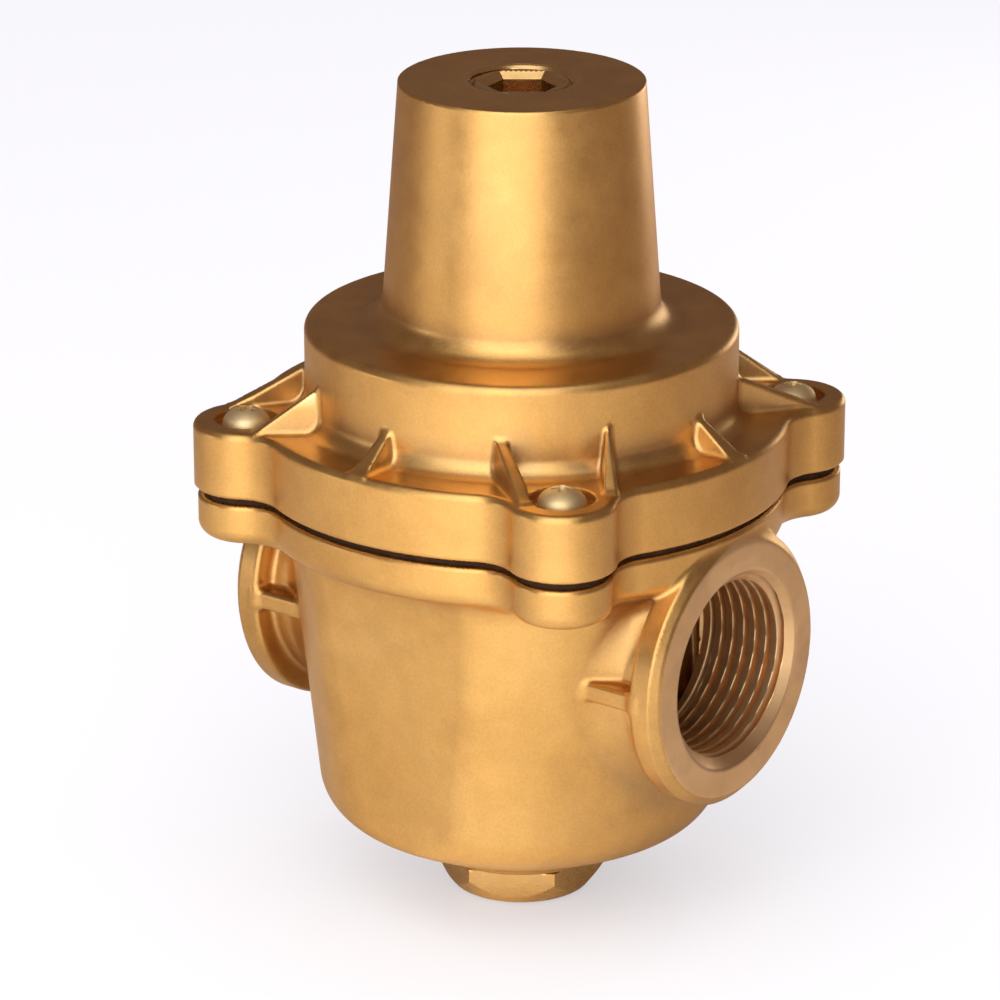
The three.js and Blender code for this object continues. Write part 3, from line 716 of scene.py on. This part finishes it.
def sd_bonnet(P):
    x, y, z, r = split(P)
    ax, ay = np.abs(x), np.abs(y)
    u, v = (ax + ay) * S2, np.abs(ax - ay) * S2
    gx, gy = np.maximum(ax, ay), np.minimum(ax, ay)
    rim = outline(x, y, 46, 47.15, 9.1, 8.0)
    fl = ri(rim, z - F(87.7), 1.3)
    fl = ci(fl, F(76) - z, 0.35)
    sh = np.maximum(ri(r - F(37), z - F(103.4), 1.5), F(77) - z)
    d = ru(fl, sh, 3.0)
    nk = (r - F(23.6) + (z - F(107.6)) * F(0.07337)) * F(0.9973)
    nk = np.maximum(ri(nk, z - F(145.4), 0.45), F(80) - z)
    d = ru(d, nk, 3.6)
    top = (gx - F(44.6)) * F(0.5742) + (z - F(87.9)) * F(0.8187)
    g = ri((gy - F(0.8) - np.minimum(F(93.3) - z, 6) * F(0.16)) * F(0.987), mx(top, rim + F(1.0), F(32) - gx, F(85) - z), 0.4)
    d = ru(d, g, 1.0)
    # a stout low rib and a thin tall one on each ear
    vs = np.sign(x) * np.sign(y) * (ay - ax) * S2
    for at, off, turn, thick, draft, end, high, soft in ((47.0, -6.5, 10.0, 0.85, 0.08, 49.6, 6.2, 0.5), (46.0, 8.2, -6.0, 0.42, 0.11, 46.6, 7.4, 0.35)):
        ca, sa = math.cos(math.radians(turn)), math.sin(math.radians(turn))
        lu = (u - F(at)) * F(ca) + (vs - F(off)) * F(sa) + F(at)
        lv = (vs - F(off)) * F(ca) - (u - F(at)) * F(sa)
        run, rise = end - 36.4, high - 0.2
        k = math.hypot(run, rise)
        top = (lu - F(end)) * F(rise / k) + (z - F(87.9)) * F(run / k)
        c = ri((np.abs(lv) - F(thick) - np.minimum(F(94.5) - z, 7) * F(draft)) * F(0.996), mx(top, lu - F(end), rim + F(0.9), F(31) - lu, F(85) - z), soft)
        d = ru(d, c, 0.8)
    ear = ln(u - F(47.15), v)
    d = ri(d, -np.maximum(ear - F(5.5), F(86.2) - z), 0.4)
    d = np.maximum(d, -np.maximum(ear - F(2.75), F(70) - z))
    dome = ri(r - F(33.5), z - F(99.3), 4.0)
    ch = np.maximum(r - F(17.5), z - F(127))
    void = ru(dome, ch, 1.5)
    d = ci(d, -void, 0.3)
    d = np.maximum(d, -np.maximum(r - F(9.6), F(126.5) - z))
    return d


bonnet = by_field("bonnet_casting", sd_bonnet, (-46, -46, 75.9), (46, 46, 145.5), 0.40)


def bonnet_rule(c, n):
    x, y, z = c.T
    r = np.hypot(x, y)
    ear = np.hypot(np.abs(x) - 33.34, np.abs(y) - 33.34)
    idx = np.zeros(len(c), int)
    idx[(z < 76.1) & (n[:, 2] < -0.7)] = 1
    idx[(ear < 5.5) & (z < 86.3) & (z > 86.0)] = 1
    idx[(r < 9.6) & (z > 127.1)] = 1
    return idx


paint_faces(bonnet, [M_CAST, M_TURN_Z], bonnet_rule)
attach(bonnet, "housing")
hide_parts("bonnet")

ob = liner("bonnet_screw_thread", 127.0, 145.38, 9.8, lambda Z: (np.full_like(Z, 8.30), np.full_like(Z, 9.10), 9.2 - (145.38 - Z)), 1.5, lambda v: v)
ob.data.materials.append(M_TURN_Z)
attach(ob, "housing")
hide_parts("bonnet")

# ------------------------------------------------------------------ diaphragm


def sd_diaphragm(P):
    x, y, z, r = split(P)
    t = np.clip((r - F(28)) / F(5), 0, 1)
    lift = F(3) * np.sin(t * F(math.pi))
    d = ri(outline(x, y, 44.3, 47.15, 7.5, 8.0), np.abs((z - F(75.3) - lift) * F(0.5)) - F(0.34), 0.1)
    u, v = (np.abs(x) + np.abs(y)) * S2, np.abs(np.abs(x) - np.abs(y)) * S2
    d = np.maximum(d, -(ln(u - F(47.15), v) - F(2.9)))
    return np.maximum(d, F(4.4) - r)


dia = by_field("diaphragm_sheet", sd_diaphragm, (-45, -45, 74.5), (45, 45, 79.2), 0.42)
paint_faces(dia, [M_RUBBER], lambda c, n: np.zeros(len(c)))
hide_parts("diaphragm")
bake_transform(dia)
co = np.empty(len(dia.data.vertices) * 3, F)
dia.data.vertices.foreach_get("co", co)

# ------------------------------------------------------------------ adjusting screw


def sd_adjuster(P):
    x, y, z, r = split(P)
    th = screw_r(z / F(1.5) - np.arctan2(y, x) / F(2 * math.pi), 7.92, 0.80)
    d = (r - th) * F(0.6)
    d = np.maximum(d, (r - F(8.7) + (z - F(145.0)) + F(0.9)) * S2)
    d = np.maximum(d, (r - F(8.7) - (z - F(124.9)) + F(1.1)) * S2)
    d = np.maximum(d, z - F(145.0))
    d = np.maximum(d, F(124.9) - z)
    tip = ri(r - F(4.6), (r - F(2.2)) * F(0.37) - (z - F(124.3)) * F(0.93), 0.6)
    tip = mx(tip, z - F(126), F(123.35) - z)
    d = ru(d, tip, 0.4)
    c, s = math.cos(0.12), math.sin(0.12)
    hx = hexagon(x * F(c) + y * F(s), -x * F(s) + y * F(c), 11.0)
    mouth = (hx - F(1.15) - (z - F(145.0))) * S2
    sock = np.minimum(np.maximum(hx, F(136.2) - z), np.maximum(mouth, F(143) - z))
    d = np.maximum(d, -sock)
    return d


adj = by_field("adjusting_screw_threaded", sd_adjuster, (-8.8, -8.8, 123.2), (8.8, 8.8, 145.1), 0.17, sharp=30, reach=1.4)
paint_faces(adj, [M_TURN_Z], lambda c, n: np.zeros(len(c)))
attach(adj, "adjuster")
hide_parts("adjusting_screw")

# ------------------------------------------------------------------ bonnet screws

HEAD = 86.25


def sd_screw(P):
    """pan head screw on the origin, underside of the head at z = 0"""
    x, y, z, r = split(P)
    ball = np.sqrt(x * x + y * y + (z + F(1.69)) ** 2) - F(5.12)
    head = ri(r - F(4.22), ball, 0.8)
    head = ri(head, -z, 0.15)
    th = screw_r(z / F(0.8) - np.arctan2(y, x) / F(2 * math.pi), 2.02, 0.38)
    shank = mx((r - th) * F(0.6), F(-17.6) - z, z - F(0.5), (r - F(2.4) - (z + F(17.6))) * S2)
    shank = np.minimum(shank, mx(r - F(2.4), F(-3) - z, z - F(0.5)))
    d = np.minimum(head, shank)
    depth = (z - F(1.7)) * F(0.16)
    arm = np.minimum(
        np.maximum(np.abs(x) - F(0.42) - depth * 0.3, np.abs(y) - F(1.2) - depth * 2),
        np.maximum(np.abs(y) - F(0.42) - depth * 0.3, np.abs(x) - F(1.2) - depth * 2),
    )
    floor = (F(1.9) - z + ln(x, y) * F(0.35)) * F(0.94)
    return ci(d, -np.maximum(arm, floor), 0.08)


sx, sq, sn = contour(sd_screw, (-4.8, -4.8, -17.7), (4.8, 4.8, 3.8), 0.13)
for i in range(4):
    a = math.pi / 4 + i * math.pi / 2
    turn = math.radians(20 + 35 * i)
    rot = np.array([[math.cos(turn), -math.sin(turn), 0], [math.sin(turn), math.cos(turn), 0], [0, 0, 1]])
    place = sx @ rot.T + np.array([47.15 * math.cos(a), 47.15 * math.sin(a), HEAD])
    cav = mesh_object(f"pan_head_screw_{i + 1}", place, sq, sn @ rot.T, None, sharp=32)
    # cavity marks the cross recess and hollows of the screw, which the material darkens as painted shade
    P, N = sx.astype(F), sn.astype(F)
    cv = np.clip(1 - sd_screw(P + N * F(0.7)) / F(0.7), 0, 1)
    at = cav.data.attributes.new("cavity", "FLOAT", "POINT")
    if len(cav.data.vertices) == len(cv):
        at.data.foreach_set("value", cv.astype(F))
    cav.data.materials.append(M_SCREW)
    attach(cav, "housing")
    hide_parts(f"bonnet_screw_{i + 1}")

# ------------------------------------------------------------------ bottom plug


def sd_plug(P):
    x, y, z, r = split(P)
    hx = ri(hexagon(x, y, 26.0), z - F(6.4), 0.3)
    hx = np.maximum(hx, (r - F(12)) * F(0.798) - z * F(0.603))
    hx = ri(hx, -z, 0.4)
    hx = np.maximum(hx, (r - F(14.8)) * F(0.5) + (z - F(6.4)) * F(0.866))
    th = screw_r(z / F(1.5) - np.arctan2(y, x) / F(2 * math.pi), 11.25, 0.75)
    sh = mx((r - th) * F(0.6), z - F(22), F(5) - z, (r - F(12) + (z - F(22)) + F(0.8)) * S2)
    sh = np.minimum(sh, mx(r - F(11.2), z - F(10), F(5) - z))
    d = np.minimum(hx, sh)
    return np.maximum(d, -np.maximum(r - F(4.3), F(7) - z))


plug = by_field("bottom_plug_threaded", sd_plug, (-13.1, -15.1, -0.05), (13.1, 15.1, 22.1), 0.25, sharp=30)
paint_faces(plug, [M_TURN_Z], lambda c, n: np.zeros(len(c)))
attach(plug, "housing")
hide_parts("bottom_plug")

# ------------------------------------------------------------------ seat ring


def sd_seat(P):
    x, y, z, r = split(P)
    d = mx(r - F(15.5), z - F(51), F(46.1) - z)
    d = np.minimum(d, ri(r - F(18.1), np.abs(z - F(52.15)) - F(1.35), 0.3))
    d = np.minimum(d, ri(r - F(13.4), np.abs(z - F(47.2)) - F(2.0), 0.5))
    th = screw_r(z / F(1.5) - np.arctan2(y, x) / F(2 * math.pi), 14.7, 0.8)
    d = np.maximum(d, np.where((z > 46.8) & (z < 50.2), (r - th) * F(0.6), F(-9)))
    d = ri(d, -(r - F(11.5)), 0.4)
    u, v = (x + y) * S2, (x - y) * S2
    return np.maximum(d, -np.maximum(np.minimum(np.abs(u), np.abs(v)) - F(1.6), F(52.1) - z))


seat = by_field("seat_ring_threaded", sd_seat, (-18.2, -18.2, 45.1), (18.2, 18.2, 53.6), 0.28, sharp=30)
paint_faces(seat, [M_TURN_Z], lambda c, n: np.zeros(len(c)))
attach(seat, "housing")
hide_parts("seat_ring")

# ------------------------------------------------------------------ turned pieces and nuts


def piece(ob, body_name, node, mat):
    ob.data.materials.append(mat)
    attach(ob, body_name)
    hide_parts(node)
    return ob


SEAL = 45.2 - 5.6 - 0.25
piece(lathe("upper_seat_turned", [(0, 114.4), (9.6, 114.4), (10.8, 115.4), (10.8, 118.7), (15.4, 118.7), (16.2, 119.5), (16.2, 123.2), (15.2, 124.2), (2.6, 124.2), (0, 122.9)]), "spring_seat", "upper_spring_seat", M_TURN_Z)
piece(lathe("disc_cup_turned", [(4.15, 30.2), (10, 30.2), (14.2, 33.2), (14.2, SEAL - 0.9), (13.7, SEAL - 0.9), (13.7, SEAL - 3.6), (4.15, SEAL - 3.6)], ring=True), "stem_group", "valve_disc", M_TURN_Z)
piece(lathe("disc_seal_ring", [(6.3, SEAL - 3.55), (13.4, SEAL - 3.55), (13.4, SEAL), (6.3, SEAL)], ring=True, c=0.4), "stem_group", "disc_seal", M_SEAL)
piece(lathe("disc_retainer_turned", [(4.15, SEAL - 3.5), (6.0, SEAL - 3.5), (6.0, SEAL + 0.1), (9.4, SEAL + 0.1), (9.4, SEAL + 1.2), (7.6, SEAL + 5.2), (4.15, SEAL + 5.2)], ring=True), "stem_group", "disc_retainer", M_TURN_Z)
piece(lathe("diaphragm_washer_turned", [(4.15, 71.8), (22, 71.8), (26.4, 73.2), (26.6, 74.5), (4.15, 74.5)], ring=True, c=0.4), "stem_group", "diaphragm_washer", M_TURN_Z)
piece(lathe("diaphragm_plate_turned", [(4.15, 76.1), (26.2, 76.1), (26.8, 76.7), (26.8, 78.9), (26.3, 79.4), (17.9, 79.4), (17.9, 81.4), (16.1, 81.4), (15.8, 79.8), (4.15, 79.8)], ring=True), "stem_group", "diaphragm_plate", M_TURN_Z)
piece(lathe("plug_seal_ring", [(11.6, 6.45), (14.3, 6.45), (14.3, 7.35), (11.6, 7.35)], ring=True, c=0.3), "housing", "bottom_plug_seal", M_SEAL)


def sd_stem(P):
    x, y, z, r = split(P)
    th = screw_r(z / F(1.25) - np.arctan2(y, x) / F(2 * math.pi), 3.3, 0.58)
    d = mx((r - th) * F(0.6), F(13) - z, z - F(89), (r - F(3.9) + (z - F(89)) + F(0.8)) * S2, (r - F(3.9) - (z - F(13)) + F(0.8)) * S2)
    d = np.minimum(d, mx(r - F(3.88), F(13.8) - z, z - F(22.5)))
    d = np.minimum(d, mx(r - F(3.88), F(30) - z, z - F(74)))
    sh = ri(r - F(6), np.abs(z - F(58.2)) - F(13.5), 0.4)
    return np.minimum(d, sh)


stem = by_field("stem_turned", sd_stem, (-6.1, -6.1, 12.9), (6.1, 6.1, 89.1), 0.22, sharp=30)
paint_faces(stem, [M_STEEL], lambda c, n: np.zeros(len(c)))
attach(stem, "stem_group")
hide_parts("valve_stem")


def sd_nut(z0):
    def f(P):
        x, y, z, r = split(P)
        z = z - F(z0)
        d = np.maximum(hexagon(x, y, 13.0), np.abs(z - F(3.25)) - F(3.25))
        for s in (z, F(6.5) - z):
            d = np.maximum(d, (r - F(6.5)) * F(0.5) - s * F(0.866))
        hole = screw_r(z / F(1.25) - np.arctan2(y, x) / F(2 * math.pi), 4.0, 0.05)
        return np.maximum(d, -(r - F(4.02)))

    return f


for nm, z0, node in (("disc_nut_hex", 23.6, "disc_nut"), ("stem_nut_hex", 79.9, "stem_nut")):
    nt = by_field(nm, sd_nut(z0), (-7.6, -7.6, z0 - 0.1), (7.6, 7.6, z0 + 6.6), 0.22, sharp=28)
    paint_faces(nt, [M_STEEL], lambda c, n: np.zeros(len(c)))
    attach(nt, "stem_group")
    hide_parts(node)

# ------------------------------------------------------------------ main spring, in two lengths that share its middle

LOW, HIGH, RW, RS, TURNS = 79.7, 118.6, 1.7, 13.4, 7


def coil_point(t):
    dead = 0.14
    low, high, flat = LOW + RW, HIGH - RW, 2 * RW + 0.15
    z = np.where(
        t < dead,
        low + flat * t / dead,
        np.where(t > 1 - dead, high - flat * (1 - t) / dead, low + flat + (high - low - 2 * flat) * (t - dead) / (1 - 2 * dead)),
    )
    a = t * TURNS * 2 * math.pi
    return np.stack([RS * np.cos(a), RS * np.sin(a), z], -1)


def coil(name, t0, t1):
    n, k = (330), 20
    t = np.linspace(t0, t1, n)
    c = coil_point(t)
    e = 1e-4
    tan = coil_point(np.clip(t + e, 0, 1)) - coil_point(np.clip(t - e, 0, 1))
    tan /= np.linalg.norm(tan, axis=1)[:, None]
    out = c * [1, 1, 0] / RS
    up = np.cross(tan, out)
    up /= np.linalg.norm(up, axis=1)[:, None]
    out = np.cross(up, tan)
    b = np.linspace(0, 2 * math.pi, k, endpoint=False)
    v = c[:, None] + RW * (np.cos(b)[None, :, None] * out[:, None] + np.sin(b)[None, :, None] * up[:, None])
    v[..., 2] = np.clip(v[..., 2], LOW + 0.5, HIGH - 0.5)
    v = v.reshape(-1, 3)
    i, j = np.meshgrid(np.arange(n - 1), np.arange(k), indexing="ij")
    j2 = (j + 1) % k
    q = np.stack([i * k + j, i * k + j2, (i + 1) * k + j2, (i + 1) * k + j], -1).reshape(-1, 4)
    faces = [tuple(r) for r in q[:, ::-1].tolist()]
    faces.append(tuple(range(k)))
    faces.append(tuple(reversed(range((n - 1) * k, n * k))))
    me = bpy.data.meshes.new(name)
    me.from_pydata((v * 0.001).tolist(), [], faces)
    me.validate()
    me.shade_smooth()
    me.set_sharp_from_angle(angle=math.radians(40))
    ob = bpy.data.objects.new(name, me)
    bpy.context.scene.collection.objects.link(ob)
    ob.data.materials.append(M_SPRING)
    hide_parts("main_spring")
    return ob


for nm, t0, t1, other, end in (("spring_lower_turns", 0.0, 0.5, "stem_group", LOW), ("spring_upper_turns", 0.5, 1.0, "spring_seat", HIGH)):
    ob = coil(nm, t0, t1)
    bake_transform(ob)
    co = np.empty(len(ob.data.vertices) * 3, F)
    ob.data.vertices.foreach_get("co", co)

# ------------------------------------------------------------------ floor, light, camera

sc = bpy.context.scene
me = bpy.data.meshes.new("studio_floor")
R = 6.0
me.from_pydata([(-R, -R, -0.0004), (R, -R, -0.0004), (R, R, -0.0004), (-R, R, -0.0004)], [], [(0, 1, 2, 3)])
floor = bpy.data.objects.new("studio_floor", me)
sc.collection.objects.link(floor)
fm, ft, fb = nodes_of("pale_floor")
fb.inputs["Roughness"].default_value = 0.9
fb.inputs["Specular IOR Level"].default_value = 0.0
# pale to the eye; for the metal the table top carries painted light: pale round the front of the valve, fading with
# distance and towards the back into a dim room tone, as in a cut-out product picture
seen = ft.nodes.new("ShaderNodeLightPath").outputs["Is Camera Ray"]
gap = ft.nodes.new("ShaderNodeVectorMath")
gap.operation = "DISTANCE"
ft.links.new(objco(ft), gap.inputs[0])
gap.inputs[1].default_value = (0.012, -0.05, 0)
part = ft.nodes.new("ShaderNodeSeparateXYZ")
ft.links.new(objco(ft), part.inputs[0])
angle = math_(ft, "ARCTAN2", part.outputs[0], math_(ft, "MULTIPLY", part.outputs[1], -1.0))
turn = mapr(ft, angle, -math.pi, math.pi, 0.0, 1.0)
around = ramp(ft, turn, [((d + 180) / 360, (v, v, v)) for d, v in ((-178, 0.35), (-95, 0.34), (-42, 0.38), (-20, 0.64), (2, 0.96), (34, 0.96), (70, 0.62), (100, 0.32), (140, 0.24), (178, 0.32))])
near = ft.nodes.new("ShaderNodeMapRange")
near.interpolation_type = "SMOOTHSTEP"
for k, v in zip(("From Min", "From Max", "To Min", "To Max"), (0.20, 0.50, 1.0, 0.0)):
    near.inputs[k].default_value = v
ft.links.new(gap.outputs["Value"], near.inputs["Value"])
lit = math_(ft, "MULTIPLY", near.outputs["Result"], around)
top = mixc(ft, lit, (0.30, 0.22, 0.19), (0.93, 0.88, 0.78))
ft.links.new(mixc(ft, seen, top, (0.400, 0.398, 0.412)), fb.inputs["Base Color"])
# painted light: the table top in front of the valve glows as a lit patch for the metal; the eye sees an even glow
rise = ft.nodes.new("ShaderNodeMapRange")
fall = ft.nodes.new("ShaderNodeMapRange")
for node, vals in ((rise, (0.15, 0.27, 0.0, 1.0)), (fall, (0.42, 0.62, 1.0, 0.0))):
    node.interpolation_type = "SMOOTHSTEP"
    for k, v in zip(("From Min", "From Max", "To Min", "To Max"), vals):
        node.inputs[k].default_value = v
    ft.links.new(gap.outputs["Value"], node.inputs["Value"])
fan = ramp(ft, turn, [((d + 180) / 360, (v, v, v)) for d, v in ((-178, 0.0), (-72, 0.0), (-38, 0.55), (-12, 1.0), (34, 1.0), (60, 0.75), (100, 0.32), (135, 0.0), (178, 0.0))])
patch = math_(ft, "MULTIPLY", math_(ft, "MULTIPLY", rise.outputs["Result"], fall.outputs["Result"]), fan)
glow = mixc(ft, patch, (0.0, 0.0, 0.0), (1.0, 0.93, 0.78))
ft.links.new(mixc(ft, seen, glow, (0.975, 0.960, 1.0)), fb.inputs["Emission Color"])
fb.inputs["Emission Strength"].default_value = 0.52
me.materials.append(fm)

world = sc.world or bpy.data.worlds.new("studio")
sc.world = world
world.use_nodes = True
wt = world.node_tree
wt.nodes.clear()
wo = wt.nodes.new("ShaderNodeOutputWorld")
bg = wt.nodes.new("ShaderNodeBackground")
bg2 = wt.nodes.new("ShaderNodeBackground")
lp = wt.nodes.new("ShaderNodeLightPath")
mixs = wt.nodes.new("ShaderNodeMixShader")
bg.inputs["Color"].default_value = (1.0, 0.70, 0.60, 1)
bg.inputs["Strength"].default_value = 0.165
bg2.inputs["Color"].default_value = (0.95, 0.94, 0.97, 1)
bg2.inputs["Strength"].default_value = 1.0
bg3 = wt.nodes.new("ShaderNodeBackground")
bg3.inputs["Color"].default_value = (1.0, 0.99, 1.0, 1)
bg3.inputs["Strength"].default_value = 0.68
mixd = wt.nodes.new("ShaderNodeMixShader")
wt.links.new(lp.outputs["Is Diffuse Ray"], mixd.inputs[0])
wt.links.new(bg.outputs[0], mixd.inputs[1])
wt.links.new(bg3.outputs[0], mixd.inputs[2])
wt.links.new(lp.outputs["Is Camera Ray"], mixs.inputs[0])
wt.links.new(mixd.outputs[0], mixs.inputs[1])
wt.links.new(bg2.outputs[0], mixs.inputs[2])
wt.links.new(mixs.outputs[0], wo.inputs[0])

TARGET = Vector((0, 0, 0.070))


def softbox(name, az, dist, low, high, w, radiance, color=(1, 1, 1), metal=True):
    """upright softbox facing the valve axis, az counted from the camera's side, its foot and head at heights low and high"""
    a = math.radians(37.23 + az)
    L = bpy.data.lights.new(name, "AREA")
    L.shape = "RECTANGLE"
    L.size, L.size_y = w, high - low
    L.energy = radiance * math.pi * w * (high - low)
    L.color = color
    o = bpy.data.objects.new(name, L)
    sc.collection.objects.link(o)
    o.location = Vector((math.sin(a) * dist, -math.cos(a) * dist, (low + high) / 2))
    o.rotation_euler = (math.pi / 2, 0, a)
    o.visible_camera = False
    o.visible_glossy = metal
    return o


L = bpy.data.lights.new("overhead", "AREA")
L.shape = "SQUARE"
L.size = 3.2
L.energy = 0.44 * math.pi * 3.2 * 3.2
L.color = (1.0, 0.995, 1.0)
over = bpy.data.objects.new("overhead", L)
sc.collection.objects.link(over)
over.location = (0, 0, 1.3)
over.visible_camera = False
over.visible_glossy = False
softbox("front", -13, 0.62, 0.0, 0.80, 0.80, 1.95, (1.0, 0.99, 0.94))
softbox("left", -78, 0.9, 0.01, 0.17, 0.40, 2.0, (1.0, 0.99, 0.95))
softbox("right_back", 142, 0.6, 0.0, 0.2, 0.28, 2.0, (1.0, 0.97, 0.92))
L = bpy.data.lights.new("upper_front", "AREA")
L.shape = "RECTANGLE"
L.size, L.size_y = 0.9, 0.65
L.energy = 1.35 * math.pi * 0.9 * 0.65
L.color = (1.0, 0.99, 0.95)
high = bpy.data.objects.new("upper_front", L)
sc.collection.objects.link(high)
a, e = math.radians(37.23 - 13), math.radians(62)
high.location = TARGET + Vector((math.sin(a) * math.cos(e), -math.cos(a) * math.cos(e), math.sin(e))) * 0.95
high.rotation_euler = (TARGET - high.location).to_track_quat("-Z", "Y").to_euler()
high.visible_camera = False

AZ, EL, DIST, SIDE, LOOK_Z, LENS = 37.23, 19.88, 0.87542, -0.00368, 0.07052, 183.04
a, e = math.radians(AZ), math.radians(EL)
back = Vector((math.sin(a) * math.cos(e), -math.cos(a) * math.cos(e), math.sin(e)))
right = Vector((math.cos(a), math.sin(a), 0))
up = back.cross(right)
cam_data = bpy.data.cameras.new("camera")
cam_data.lens = LENS
cam_data.sensor_width = 36
cam_data.clip_start, cam_data.clip_end = 0.05, 50
cam = bpy.data.objects.new("camera", cam_data)
sc.collection.objects.link(cam)
place = Vector((0, 0, LOOK_Z)) + right * SIDE + back * DIST
cam.matrix_world = Matrix(((right.x, up.x, back.x, place.x), (right.y, up.y, back.y, place.y), (right.z, up.z, back.z, place.z), (0, 0, 0, 1)))
sc.camera = cam
sc.view_settings.view_transform = "Standard"
